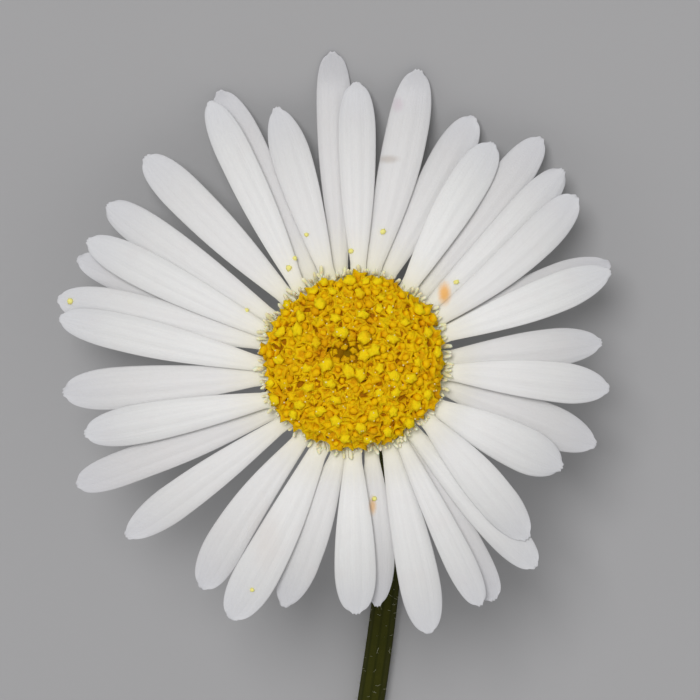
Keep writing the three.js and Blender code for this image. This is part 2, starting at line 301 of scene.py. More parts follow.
cup_heights = np.array([-4.4, -4.34, -4.22, -4.02, -3.8, -3.4, -3.0, -2.55, -2.1, -1.7, -1.3, -0.8,
                        -0.5])
cup_radii = np.array([0.4, 0.64, 0.95, 1.4, 1.86, 2.28, 2.57, 2.8, 2.93, 2.98, 2.98, 2.9, 2.86])
bracts_in_row = 17
bract_rows = [  # lower end, tip, how proud of the cup, spread of the tip, turn in bracts, width
    (-3.1, -0.28, 0.1, 0.2, 0.0, 1.12),
    (-3.75, -0.95, 0.2, 0.14, 0.5, 0.98),
    (-4.3, -1.75, 0.29, 0.12, 0.25, 0.88),
]
rng = np.random.default_rng(11)


def on_face(right, up, out):
    """The place in the part's frame of a point so far right of, up from and out from the head's
    centre."""
    return (head_centre + right[..., None] * face_right + up[..., None] * face_up
            + out[..., None] * face_out)


def cup_surface(sides=64):
    """The bowl: its profile turned round the head's axis, with a faint cosine fluting."""
    angle = 2 * np.pi * np.arange(sides) / sides
    radius = cup_radii[:, None] * (1 + 0.008 * np.cos(16 * angle))
    return on_face(radius * np.cos(angle), radius * np.sin(angle), cup_heights[:, None])


def bract_surface(stations=18, columns=7):
    """All bracts, as thin closed leaves. Half the width follows a sine that is fullest near the
    middle and comes to a point; the leaf follows the cup's profile, stands off it by its row, leans
    out at the tip, and its keel stands above its edges by the square of the distance across."""
    count = len(bract_rows) * bracts_in_row
    rows = np.repeat(np.array(bract_rows), bracts_in_row, axis=0)
    index = np.tile(np.arange(bracts_in_row), len(bract_rows))
    low, tip, proud, spread, turn, width = (rows[:, k, None, None] for k in range(6))
    tip = tip + 0.07 * rng.uniform(-1, 1, (count, 1, 1))
    turned = rng.normal(0, 0.03, (count, 1, 1))
    share = (np.linspace(0, 1, stations) ** 0.9)[None, :, None]
    across = np.linspace(-1, 1, columns)
    across = np.concatenate([across, across[::-1]])[None, None, :]
    under = np.repeat([0.0, 1.0], columns)[None, None, :]
    half = width / 2 * (0.72 + 0.3 * np.sin(np.pi * share)) * (1 - share ** 2.6) ** 0.75 + 0.012
    height = low + (tip - low) * share
    angle = (index[:, None, None] + turn) * 2 * np.pi / bracts_in_row + turned
    radius = np.interp(height, cup_heights, cup_radii) + proud * np.minimum(1, 0.35 + 2 * share)
    radius = radius + spread * share ** 3 - 0.14 * across ** 2 * (1 - 0.5 * share)
    radius = radius + 0.03 * np.exp(-((across / 0.22) ** 2)) * (1 - share)
    radius = radius - under * (0.1 - 0.06 * np.abs(across)) * (1 - 0.5 * share)
    sideways = half * across
    right = radius * np.cos(angle) - sideways * np.sin(angle)
    up = radius * np.sin(angle) + sideways * np.cos(angle)
    return on_face(right, up, height), share, across, rng.uniform(0, 1, (count, 1, 1))


def bract_skin(name, is_leaf):
    finish = Finish(name)
    place = finish.place()
    mottled = finish.noise(place, 2.6, 4.0)
    grain = finish.noise(place, 22.0, 2.0)
    colour = finish.mix(mottled, (0.06, 0.12, 0.022), (0.15, 0.21, 0.05))
    if is_leaf:
        along, across, tint = finish.mark("along"), finish.mark("across"), finish.mark("tint")
        colour = finish.mix(tint * 0.4, colour, (0.2, 0.25, 0.07))
        keel = finish.rise(across * across, 0.1, 0.0) * 0.5
        colour = finish.mix(keel, colour, (0.05, 0.1, 0.02))
        edge = finish.rise(across * across + 0.2 * mottled, 0.6, 0.95)
        colour = finish.mix(edge * 0.8, colour, (0.52, 0.53, 0.36))
        flush = finish.rise(along + 0.3 * mottled, 0.93, 1.15) * 0.75
        colour = finish.mix(flush, colour, (0.22, 0.06, 0.07))
    return finish.finished(
        {"Subsurface Weight": 0.05, "Subsurface Scale": 0.0003, "Specular IOR Level": 0.35},
        colour=colour, roughness=0.5 + 0.2 * grain, normal=finish.bump(grain + mottled, 0.015))


add_piece("cup_wall", cup_surface(), "involucre", bract_skin("cup_skin", False))
bract_points, along, across, tint = bract_surface()
add_piece("cup_bracts", bract_points, "involucre", bract_skin("bract_skin", True),
          along=along, across=across, tint=tint)

# Hairs: fine white hairs of living tissue, grown out of the skin of the stem and of the bracts.
# They stand off it and lean towards the head.

stem_hair_count = 800
stem_hair_lengths = (0.1, 0.28)
stem_hair_clearance = 0.015  # of the lowest hairs over the surface
bract_hair_count = 700
bract_hair_lengths = (0.1, 0.3)


def hairs(roots, outward, forward, lengths, width):
    """Tapered four-sided hairs: each starts at its root, leaves along the outward direction and
    bends by the square of the distance towards the forward direction, while it thins to its tip."""
    share = np.array([0.0, 0.45, 1.0])[None, :, None]
    forward = unit(forward - np.sum(forward * outward, -1, keepdims=True) * outward)
    thin = (width * np.array([1.0, 0.75, 0.12]))[None, :, None, None]
    line = roots[:, None] + lengths[:, None, None] * (
        outward[:, None] * share + forward[:, None] * 0.7 * share ** 2)
    aside = unit(np.cross(outward, forward))
    angle = 2 * np.pi * np.arange(4) / 4
    other = np.cross(outward, aside)
    ring = (np.cos(angle)[None, None, :, None] * aside[:, None, None]
            + np.sin(angle)[None, None, :, None] * other[:, None, None])
    return line[:, :, None] + thin * ring


def hair_skin():
    finish = Finish("hair_skin")
    tone = finish.noise(finish.place(), 3.0, 1.0)
    return finish.finished(
        {"Specular IOR Level": 0.5},
        colour=finish.mix(tone, (0.34, 0.36, 0.22), (0.6, 0.6, 0.48)), roughness=0.3 + 0.2 * tone)


def hairs_on(points, count, lengths, lowest):
    """Hairs at random points of a grid of rings: outward is away from the ring's middle, forward is
    against the run of the rings. Those that would touch the resting surface are left out."""
    ring = rng.integers(1, points.shape[0] - stem_cut_rings, count)
    side = rng.integers(0, points.shape[1], count)
    roots = points[ring, side]
    middle = points.mean(1)
    outward = unit(roots - middle[ring] + 0.15 * rng.normal(0, 1, (count, 3)))
    forward = unit(middle[ring - 1] - middle[ring] + 0.2 * rng.normal(0, 1, (count, 3)))
    made = hairs(roots - 0.02 * outward, outward, forward, rng.uniform(*lengths, count), 0.008)
    return made[made[..., 2].min((1, 2)) > lowest]


hair_material = hair_skin()
made = hairs_on(stem_points, stem_hair_count, stem_hair_lengths, stem_hair_clearance)
add_piece("stem_hairs", made, "stem", hair_material)

leaf = rng.integers(0, len(bract_points), bract_hair_count)
station = rng.integers(2, 14, bract_hair_count)
column = rng.integers(1, 6, bract_hair_count)
roots = bract_points[leaf, station, column]
axis_place = head_centre + ((roots - head_centre) @ face_out)[:, None] * face_out
outward = unit(roots - axis_place + 0.2 * rng.normal(0, 1, roots.shape))
forward = unit(face_out + 0.3 * rng.normal(0, 1, roots.shape))
lengths = rng.uniform(*bract_hair_lengths, bract_hair_count)
made = hairs(roots - 0.01 * outward, outward, forward, lengths, 0.009)
add_piece("bract_hairs", made, "involucre", hair_material)

# The petals: the white straps of the ray florets, thin soft tissue with lengthwise veins and two or
# three teeth. Each grows as a narrow tube from the edge of the head, and they lap in three layers.

petals = np.array([  # azimuths of root and tip, reach, width, layer, bow, widest share, bluntness
    [352.0, 356.0, 10.95, 1.25, 0, 0, 0.7, 2.6],
    [2.5, 0.5, 9.85, 1.30, 2, 0, 0.7, 2.3],
    [11.5, 12.5, 10.55, 1.45, 1, 0.1, 0.65, 2.3],
    [21.5, 26.0, 9.65, 1.40, 0, 0, 0.75, 2.3],
    [35.5, 32.5, 9.15, 1.40, 2, -0.05, 0.7, 2.3],
    [44.5, 40.0, 10.35, 1.30, 0, 0, 0.7, 2.3],
    [53.5, 47.5, 10.05, 1.25, 1, 0.1, 0.7, 2.3],
    [62.5, 53.5, 9.80, 1.35, 2, 0.2, 0.75, 2.3],
    [68.5, 69.0, 9.70, 1.35, 0, 0, 0.7, 1.9],
    [73.0, 70.5, 9.60, 1.35, 2, 0.05, 0.7, 1.9],
    [87.5, 85.5, 8.80, 1.30, 0, 0, 0.7, 1.9],
    [96.0, 96.0, 9.05, 1.40, 2, -0.05, 0.7, 1.9],
    [105.5, 109.0, 9.05, 1.45, 0, -0.05, 0.65, 1.9],
    [118.5, 117.0, 8.25, 1.55, 2, 0, 0.65, 1.9],
    [129.0, 135.5, 8.75, 1.40, 2.5, -0.05, 0.6, 1.9],
    [140.0, 138.5, 9.70, 1.30, 1, 0, 0.7, 2.3],
    [146.0, 149.5, 9.80, 1.25, 0, 0, 0.7, 2.6],
    [149.5, 152.5, 9.70, 1.05, 2, 0, 0.8, 2.6],
    [158.0, 164.5, 9.95, 1.40, 1, -0.05, 0.7, 2.3],
    [169.5, 174.5, 8.70, 1.20, 0, -0.05, 0.65, 1.9],
    [180.5, 179.5, 8.90, 1.45, 2, 0, 0.8, 2.3],
    [190.0, 196.0, 9.00, 1.35, 1, 0, 0.6, 1.9],
    [202.0, 205.5, 10.05, 1.55, 2, -0.1, 0.8, 2.3],
    [214.5, 214.0, 9.65, 1.40, 1, 0.2, 0.8, 2.3],
    [229.5, 232.5, 10.15, 1.30, 1, 0, 0.75, 1.9],
    [238.5, 246.0, 10.75, 1.20, 0, 0, 0.6, 2.6],
    [247.0, 255.0, 9.85, 1.35, 2, 0, 0.7, 2.3],
    [261.0, 264.0, 10.35, 1.45, 1, 0, 0.7, 2.3],
    [269.5, 278.5, 10.50, 1.30, 2, 0, 0.65, 2.3],
    [282.5, 282.0, 10.70, 1.40, 1, 0.05, 0.7, 2.3],
    [290.0, 290.5, 10.45, 1.20, 0, 0, 0.7, 2.3],
    [289.5, 294.5, 10.35, 1.30, 2, 0, 0.7, 2.3],
    [298.5, 302.5, 10.35, 1.30, 1, 0, 0.75, 2.6],
    [314.0, 314.5, 10.35, 1.40, 1, 0, 0.7, 2.3],
    [324.0, 331.0, 10.50, 1.20, 2, 0, 0.6, 2.3],
    [333.0, 333.5, 10.70, 1.40, 0, -0.05, 0.7, 2.3],
    [343.0, 343.0, 9.40, 1.35, 1, 0, 0.7, 1.9],
])
petal_root = 3.5
petal_sunk = 0.85
petal_claw = 0.42  # width at the root as a share of the full width
petal_spread = 1.03  # width of the blade laid flat, as a share of its width seen from the front
petal_rounding_from = 0.7  # share of the length where the tip starts to round off
petal_tip_width = 0.34  # width where the rounding ends, as a share of the full width
petal_tooth_depth = 0.028
petal_layer_step = 0.21
petal_layer_drop = 0.13  # how much less the tips of each higher layer hang
petal_camber = 0.22
petal_drop = 0.95
petal_root_rise = 0.24
petal_root_rise_length = 0.7
petal_curl = 0.1  # how far the edges hang below the middle
petal_furrow_depth = 0.036
petal_furrow_place = 0.36  # share of the half width
petal_furrow_width = 0.13
petal_thickness = 0.13
petal_columns = 17  # points across each face of a blade
petal_colour = (0.878, 0.892, 0.878)


def resting(under, up, layer):
    """Heights raised smoothly to the surface that the flower lies on, and further for each higher
    layer, wherever they would pass it: the surface's height plus half of the gap and of the root
    of the gap squared and an ease."""
    floor = (up * math.sin(head_tilt) - head_centre[2]) / math.cos(head_tilt) + 0.02 + 0.2 * layer
    gap = under - floor
    return floor + (gap + np.hypot(gap, 0.5)) / 2


def petal_surface(stations=46, columns=petal_columns):
    """All petals, as thin closed blades on lines from root to tip that bow by a sine. Half the width
    grows as a quarter sine wave and closes as a superellipse of its own bluntness; the blade arches
    by a parabola, droops by the square of the distance, is raised by a bell curve over its root,
    curls down at its edges, and has two shallow furrows; its end is drawn back in cosine bites
    between the teeth. Gives places from the head's centre and the marks."""
    root_turn, tip_turn = np.radians(petals[:, 0]), np.radians(petals[:, 1])
    width, layer, bow, widest, blunt = (petals[:, k, None, None] for k in range(3, 8))
    count = len(petals)
    loose = rng.uniform(-1, 1, (8, count, 1, 1))
    root = petal_root * np.stack([np.sin(root_turn), np.cos(root_turn)], -1)
    tip = petals[:, 2, None] * np.stack([np.sin(tip_turn), np.cos(tip_turn)], -1)
    line = tip - root
    length = np.linalg.norm(line, axis=-1)[:, None, None]
    ahead = line / length[:, :, 0]
    right_of = np.stack([ahead[:, 1], -ahead[:, 0]], -1)
    even = np.linspace(0, 1, stations)[None, :, None]
    share = 1 - (1 + petal_sunk / length) * (1 - even) ** 1.35
    open_share = np.maximum(share, 0)
    across = np.sin(np.linspace(-1, 1, columns) * 1.25) / math.sin(1.25)
    across = np.concatenate([across, across[::-1]])[None, None, :]
    below = np.repeat([0.0, 1.0], columns)[None, None, :]
    grown = np.sin(np.pi / 2 * np.minimum(1, open_share / widest))
    past = np.maximum(0, (open_share - petal_rounding_from) / (1 - petal_rounding_from))
    closed = np.clip(1 - past ** blunt, 0, 1) ** (1 / blunt)
    closed = np.maximum(closed, petal_tip_width - 0.1 * past ** 8)
    half = petal_spread * width / 2 * (petal_claw + (1 - petal_claw) * grown) * closed
    three = (loose[1] > -0.2).astype(float)
    bites = three * (0.5 - 0.5 * np.cos(3 * np.pi * across)) + (1 - three) * (
        0.5 + 0.5 * np.cos(2 * np.pi * across))
    bites = bites * (petal_tooth_depth + 0.02 * loose[2])
    crown = 0.06 * (1 - across ** 2)
    nearing = np.clip((share - 0.93) / 0.07, 0, 1) ** 2
    onward = share * length + (crown - bites) * nearing
    wave = 0.012 * np.sin(9 * open_share + 6 * loose[3]) * np.sign(across) * across ** 2
    sideways = across * half + bow * np.sin(np.pi * open_share) + wave * open_share
    right = (root[:, 0, None, None] + ahead[:, 0, None, None] * onward
             + right_of[:, 0, None, None] * sideways)
    up = (root[:, 1, None, None] + ahead[:, 1, None, None] * onward
          + right_of[:, 1, None, None] * sideways)
    drop = petal_drop + petal_layer_drop * (1 - layer) + 0.05 * loose[4]
    rise = petal_root_rise * np.exp(-((open_share * length / petal_root_rise_length) ** 2))
    middle = (petal_layer_step * (layer - 1) + 4 * petal_camber * open_share * (1 - open_share)
              + rise - drop * open_share ** 2)
    fullness = 2 * half / width
    curl = (petal_curl + 0.04 * loose[5]) * across ** 2 * fullness
    scoop = 0.09 * np.clip((open_share - 0.72) / 0.28, 0, 1) ** 2 * across ** 2 * (1 + loose[6])
    deep = petal_furrow_depth * np.sin(np.pi * np.clip(open_share * 1.02, 0, 1)) ** 0.6
    furrows = deep * sum(np.exp(-(((across - place) / petal_furrow_width) ** 2))
                         for place in (-petal_furrow_place, petal_furrow_place))
    lift = 0.03 * loose[7] * across * open_share ** 2
    ripple = 0.014 * np.sin(13 * open_share + 9 * loose[3]) * across ** 2 * open_share
    thick = petal_thickness * (1 - 0.62 * across ** 4) * (1 - 0.35 * open_share)
    under = middle - curl + scoop - furrows + lift + ripple - thick / 2
    out = resting(under, up, layer) + thick * (1 - below)
    # The tint is larger on the lower layers: painted shade under the petals that lap over them, on top
    # of a random tone of each petal's own.
    tint = 0.22 * (2 - layer) + 0.45 * rng.uniform(0, 1, (count, 1, 1))
    return np.stack([right, up, out], -1), share, across, below, tint


def petal_skin():
    """White tissue, creamy at the root: a grey tint that is partly each petal's own tone and partly
    painted shade on the lower layers, fine lengthwise streaks and veins from noise stretched along
    the petal, painted shade darkening it towards the tip, a cool thin tip, and a few stains given by
    place, size, colour and strength."""
    finish = Finish("petal_skin")
    along, across, tint = finish.mark("along"), finish.mark("across"), finish.mark("tint")
    face_place, beneath = finish.mark("face_place", "Vector"), finish.mark("beneath")
    lengthwise = finish.node("CombineXYZ", {}, {0: across * 5.5, 1: along * 1.6, 2: tint * 40.0})
    streaks = finish.noise(lengthwise, 1.6, 4.0, 0.6)
    cells = finish.noise(face_place, 14.0, 3.0)
    clouds = finish.noise(face_place, 1.1, 2.0)
    veins = (across * 22.0 + 1.6 * clouds).math("COSINE") * 0.5 + 0.5
    vein_share = veins ** 5.0 * finish.rise(along, 0.1, 0.5)
    # Greyer by the tint: partly painted shade on the lower layers, partly the petal's own tone.
    colour = finish.mix(tint * 0.75, petal_colour, (0.71, 0.7, 0.705))
    colour = finish.mix(finish.rise(streaks, 0.3, 0.8) * 0.2, colour, (0.7, 0.69, 0.7))
    colour = finish.mix(vein_share * 0.035, colour, (0.56, 0.57, 0.59))
    colour = finish.mix(cells * 0.2, colour, (0.66, 0.66, 0.67))
    colour = finish.mix(finish.rise(clouds, 0.5, 0.75) * 0.2, colour, (0.78, 0.75, 0.745))
    # Painted shade: darker towards the tip.
    colour = finish.mix(finish.rise(along, 0.08, 1.2) * 0.19, colour, (0.0, 0.02, 0.05))
    cool = finish.rise(along + 0.1 * streaks, 0.7, 1.12) * 0.4
    colour = finish.mix(cool, colour, (0.62, 0.64, 0.71))
    creamy = finish.rise(along + 0.12 * streaks, 0.3, 0.02)
    colour = finish.mix(creamy * 0.6, colour, (0.88, 0.85, 0.68))
    greenish = finish.rise(along + 0.06 * streaks, 0.05, -0.04)
    colour = finish.mix(greenish * 0.4, colour, (0.82, 0.8, 0.5))
    stains = [  # right, up, half width, half height, colour, strength
        (3.19, 2.42, 0.17, 0.3, (0.92, 0.48, 0.13), 0.95),
        (1.2, 7.16, 0.3, 0.11, (0.42, 0.36, 0.3), 0.5),
        (0.66, -5.08, 0.1, 0.24, (0.78, 0.45, 0.16), 0.75),
        (1.54, 9.1, 0.16, 0.2, (0.55, 0.42, 0.5), 0.4),
        (-6.3, -7.0, 0.5, 0.6, (0.66, 0.6, 0.57), 0.35),
        (-3.1, -6.2, 0.45, 0.8, (0.68, 0.62, 0.58), 0.3),
    ]
    for right, up, half_width, half_height, stain, strength in stains:
        from_stain = finish.node("VectorMath", {"operation": "SUBTRACT"},
                                 {0: face_place, 1: (right, up, 0.0)})
        squashed = finish.node("VectorMath", {"operation": "MULTIPLY"},
                               {0: from_stain, 1: (1 / half_width, 1 / half_height, 0.0)})
        far = finish.node("VectorMath", {"operation": "LENGTH"}, {0: squashed}, "Value")
        share = finish.rise(far + 0.6 * cells, 2.2, 0.6) * strength
        colour = finish.mix(share * (1 - beneath), colour, stain)
    relief = 0.5 * streaks + 0.4 * cells - 0.15 * vein_share
    return finish.finished(
        {"Subsurface Weight": 0.25, "Subsurface Scale": 0.0003, "Specular IOR Level": 0.35,
         "Subsurface Radius": (1.0, 0.95, 0.9), "Sheen Weight": 0.06},
        colour=colour, roughness=0.5 + 0.16 * cells, normal=finish.bump(relief, 0.015))


face_place, along, across, beneath, tint = petal_surface()
points = on_face(*(face_place[..., k] for k in range(3)))
add_piece("petals", points, "ray_florets", petal_skin(), face_place=face_place, along=along,
          across=across, beneath=beneath, tint=tint)
petal_tops = face_place[:, :, :petal_columns].reshape(-1, 3)

# The ray tubes and styles: every petal starts as a pale tube, packed in a ring round the disc, and
# a forked cream style with two rounded arms stands out of each tube's mouth.

tube_ring = np.array([  # radius and height of the ring's profile
    [1.9, -0.42], [2.7, -0.5], [3.0, -0.42], [3.1, -0.15], [3.1, 0.12], [3.02, 0.36], [2.85, 0.5],
    [2.2, 0.5], [1.9, 0.3],
])


def tube_ring_surface(sides=6 * len(petals)):
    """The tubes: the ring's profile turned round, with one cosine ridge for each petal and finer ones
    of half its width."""
    angle = 2 * np.pi * np.arange(sides) / sides
    ridge = 1 + 0.012 * np.cos(len(petals) * angle) + 0.005 * np.cos(2 * len(petals) * angle)
    radius = tube_ring[:, :1] * ridge
    return on_face(radius * np.cos(angle), radius * np.sin(angle), tube_ring[:, 1:])


def cream_skin(name, pale, deep):
    finish = Finish(name)
    tone = finish.noise(finish.place(), 5.0, 3.0)
    grain = finish.noise(finish.place(), 26.0, 2.0)
    return finish.finished(
        {"Subsurface Weight": 0.2, "Subsurface Scale": 0.0003, "Specular IOR Level": 0.35},
        colour=finish.mix(finish.rise(tone, 0.35, 0.7), deep, pale), roughness=0.45 + 0.2 * grain,
        normal=finish.bump(grain, 0.012))


def spun(profile, sides, scale, stretch=(1.0, 1.0)):
    """Turned shapes of one profile of radii and heights, one for each scale: radius times the
    cosine and sine of the angle, stretched across, and height."""
    angle = 2 * np.pi * np.arange(sides) / sides
    radius, height = profile[:, 0, None], profile[:, 1, None]
    points = np.stack([stretch[0] * radius * np.cos(angle), stretch[1] * radius * np.sin(angle),
                       height + 0 * angle], -1)
    return points[None] * scale[:, None, None, None]


def planted(shapes, right, up, out, lean, azimuth, spin):
    """Shapes that stand along their own third axis: each is spun about it, leaned outward by its
    lean at its azimuth, and set with its foot at its place on the head."""
    x, y, z = (shapes[..., k] for k in range(3))
    spin, lean, azimuth = (v[:, None, None] for v in (spin, lean, azimuth))
    x, y = x * np.cos(spin) - y * np.sin(spin), x * np.sin(spin) + y * np.cos(spin)
    x, z = x * np.cos(lean) + z * np.sin(lean), z * np.cos(lean) - x * np.sin(lean)
    x, y = x * np.sin(azimuth) - y * np.cos(azimuth), x * np.cos(azimuth) + y * np.sin(azimuth)
    place = [v[:, None, None] for v in (right, up, out)]
    return on_face(place[0] + x, place[1] + y, place[2] + z)


points = tube_ring_surface()
rings, sides = points.shape[:2]
corner = np.arange(sides)
beside = (corner + 1) % sides
last = (rings - 1) * sides
seam = np.stack([corner + last, beside + last, beside, corner], -1)
add_piece("ray_tubes", points, "ray_florets",
          cream_skin("tube_skin", (0.86, 0.83, 0.62), (0.76, 0.7, 0.36)),
          faces=np.concatenate([tube_faces(rings, sides), seam]))

arm_profile = np.array([[0.03, -0.1], [0.042, 0.1], [0.052, 0.22], [0.066, 0.32], [0.052, 0.43],
                        [0.012, 0.48]])
style_turn = np.radians(np.concatenate([petals[:, 0] + rng.uniform(a, a + 3, len(petals))
                                        for a in (-2, 2, 6)]))
style_turn = np.repeat(style_turn, 2)
style_count = len(style_turn)
style_lean = np.repeat(rng.uniform(0.3, 1.3, style_count // 2), 2) + rng.normal(0, 0.2, style_count)
fork = np.tile([-0.05, 0.05], style_count // 2) + rng.normal(0, 0.01, style_count)
style_radius = np.repeat(rng.uniform(2.95, 3.17, style_count // 2), 2)
shapes = spun(arm_profile, 6, rng.uniform(0.55, 1.25, style_count), (1.1, 0.85))
shapes[:, 2:, :, :2] *= rng.normal(1, 0.15, shapes[:, 2:, :, 0].shape)[..., None]
made = planted(
    shapes, style_radius * np.sin(style_turn) + fork * np.cos(style_turn),
    0.97 * style_radius * np.cos(style_turn) - fork * np.sin(style_turn),
    np.full(style_count, 0.5), style_lean, style_turn + 6.0 * fork, rng.uniform(0, 6, style_count))
add_piece("ray_styles", made, "ray_florets",
          cream_skin("style_skin", (0.93, 0.91, 0.74), (0.88, 0.82, 0.48)))

# The disc: a low dome packed with golden yellow tube florets. Each tube opens in five pointed lobes
# that curl back; a rounded yellow knob of anthers and style stands out of many, and the youngest,
# in the hollow at the middle, are still closed greenish buds.

disc_radius = 3.1
disc_rise = 0.62
disc_shoulder = 0.9
disc_squash = 0.94  # of the disc's height to its width, seen from the front
disc_lift = 0.015  # of the disc's middle above the middle of the petals' ring
hollows = [(-0.16, 0.33, 0.4, 0.5), (-0.85, 0.34, 0.28, 0.35)]  # right, up, radius, depth
deepest_foot = 0.43  # depth in the hollows beyond which no floret stands
floret_lean = 0.75
knob_reach = 0.36  # of a knob's top over its floret's foot
spiral_florets = 150
spiral_radius = 3.04
room_by_knob = 0.3
room_in_gap = 0.25
gap_tries = 4000
knob_places = np.array([  # right and up of the tops of the florets whose knob stands out
    (-0.77, 2.53), (0.21, 2.39), (-1.19, 2.04), (-1.90, 1.61), (-0.67, 1.54), (-2.60, 1.05),
    (-1.97, 1.12), (-0.39, 1.02), (-0.98, -0.11), (-1.68, -0.21), (-0.18, -0.32), (-0.84, -0.77),
    (-1.61, -0.88), (-1.93, -1.51), (-2.81, -1.33), (-2.18, -1.90), (-1.19, -1.68), (-0.63, -2.07),
    (-0.32, -2.70), (0.49, -2.77), (0.21, -2.35), (1.19, -2.46), (1.97, -2.14), (0.67, -1.86),
    (1.40, -1.75), (2.18, -1.51), (2.63, -1.16), (1.97, -0.56), (2.25, 0.00), (2.95, 0.35),
    (2.63, 1.05), (2.28, 1.86), (1.83, 1.40), (1.33, 0.81), (0.98, 2.32), (1.26, 1.86),
    (0.88, 1.90), (0.28, 1.68), (-0.14, 2.84), (0.42, 2.91), (0.84, 2.84), (-1.05, 2.84),
    (-1.47, 2.53), (-2.39, 2.04), (0.39, 0.84), (-0.63, -1.33), (1.40, -0.49), (0.21, -0.42),
    (0.91, -0.21), (0.70, 0.42), (-3.02, -0.77), (-2.67, 0.07), (-1.33, 0.70), (1.47, -1.05),
    (0.84, -1.05), (0.34, 0.24),
])


def in_hollows(right, up):
    """The depth of the hollows: the sum of a bell curve of the distance from each middle."""
    return sum(depth * np.exp(-((right - x) ** 2 + (up - y) ** 2) / radius ** 2)
               for x, y, radius, depth in hollows)


def dome_height(right, up):
    """The bed's height: a shoulder and a parabola of the radius, less the depth of the hollows."""
    radius = np.hypot(right, up) / disc_radius
    return disc_shoulder + disc_rise * (1 - radius ** 2) - in_hollows(right, up)


def disc_lean(radius):
    """Lean of a floret outward in radians, by the square of its radius."""
    return floret_lean * (radius / disc_radius) ** 2


def disc_places():
    """Feet of the florets. Those with a knob stand under the place read for it; the next are taken
    from a spiral of golden-angle turns wherever it leaves room between the first, and the last
    fill the gaps that are left: random places with enough room to every other."""
    radius = np.hypot(*knob_places.T)
    knobbed = knob_places * (1 - knob_reach * np.sin(disc_lean(radius)) / radius)[:, None]
    index = np.arange(spiral_florets)
    spiral = spiral_radius * np.sqrt((index + 0.5) / len(index))
    turn = index * math.pi * (3 - math.sqrt(5))
    others = np.stack([spiral * np.sin(turn), disc_squash * spiral * np.cos(turn) + disc_lift], -1)
    others = others + rng.normal(0, 0.05, others.shape)
    apart = np.linalg.norm(others[:, None] - knobbed[None], axis=-1).min(1)
    others = others[(apart > room_by_knob) & (in_hollows(*others.T) < deepest_foot)]
    for place in rng.uniform(-2.95, 2.95, (gap_tries, 2)):
        apart = np.hypot(*(np.concatenate([knobbed, others]) - place).T).min()
        radius = np.hypot(place[0], (place[1] - disc_lift) / disc_squash)
        if apart > room_in_gap and radius < 3.0 and in_hollows(*place) < deepest_foot:
            others = np.concatenate([others, place[None]])
    return knobbed, others


def disc_skin(name, deep, middle, bright, grain_depth, youth_shade_and_dust_colour=(0.42, 0.33, 0.012)):
    """Yellow tissue by its mark for height: brown-orange low down, which is painted shade where the
    florets shade one another, golden, then bright at the top, which is painted light on the tops,
    with a tint for each floret, and the colour for youth, shade and dust where that mark is high: a
    green cast where a floret is young, painted shade in the bed's hollows, pale fine dust."""
    finish = Finish(name)
    high, tint, young = finish.mark("high"), finish.mark("tint"), finish.mark("young")
    place = finish.place()
    mottled = finish.noise(place, 5.0, 3.0)
    patches = finish.noise(place, 1.3, 1.0)
    grain = finish.noise(place, 24.0, 2.0)
    # Painted shade low down and painted light at the top, by the mark for height.
    low_share = finish.rise(high + 0.3 * mottled, 0.15, 0.7)
    top_share = finish.rise(high + 0.4 * mottled + 0.3 * tint, 0.8, 1.5)
    colour = finish.mix(low_share, deep, middle)
    colour = finish.mix(top_share, colour, bright)
    orange = finish.rise(tint + 0.3 * mottled + 1.6 * patches, 1.4, 2.0)
    colour = finish.mix(orange * 0.6, colour, (0.66, 0.28, 0.001))
    # Where this mark is high: a green cast on young florets, painted shade in the bed's hollows, pale
    # fine dust among the pollen grains.
    colour = finish.mix(young * 0.8, colour, youth_shade_and_dust_colour)
    return finish.finished(
        {"Subsurface Weight": 0.3, "Subsurface Scale": 0.0002, "Specular IOR Level": 0.08,
         "Subsurface Radius": (1.0, 0.75, 0.2)},
        colour=colour, roughness=0.5 + 0.3 * grain, normal=finish.bump(grain + mottled, grain_depth))


def bed_surface(rings=40, sides=120):
    """The bed under the florets: the dome's height over circles from the edge to the middle, made
    lumpy by a product of sines, with a wall down to its underside and a closed base."""
    angle = -2 * np.pi * np.arange(sides) / sides
    radius = np.concatenate([[0.4, 1.45, 1.45, 2.8], np.linspace(2.92, 0.02, rings)])
    right = radius[:, None] * np.sin(angle)
    up = disc_squash * radius[:, None] * np.cos(angle) + disc_lift
    lumps = 0.05 * np.sin(14 * right + 3 * up) * np.sin(15 * up - 4 * right)
    out = dome_height(right, up) + 0.12 + lumps
    out[:2] = -0.48
    out[2:4] = 0.74
    return on_face(right, up, out)


deep_gold, gold, bright_gold = (0.42, 0.17, 0.001), (0.79, 0.43, 0.001), (0.9, 0.58, 0.002)
points = bed_surface()
right, up = (points - head_centre) @ face_right, (points - head_centre) @ face_up
# The bed's dark brown-orange is painted shade in the gaps between the florets, and its darker olive in
# the hollows is painted shade in them.
add_piece("disc_bed", points, "disc_florets",
          disc_skin("bed_skin", (0.38, 0.15, 0.001), (0.6, 0.3, 0.001), gold, 0.05,
                    (0.24, 0.16, 0.001)),
          high=0.1, tint=0.3, young=np.minimum(1, 2.2 * in_hollows(right, up)))

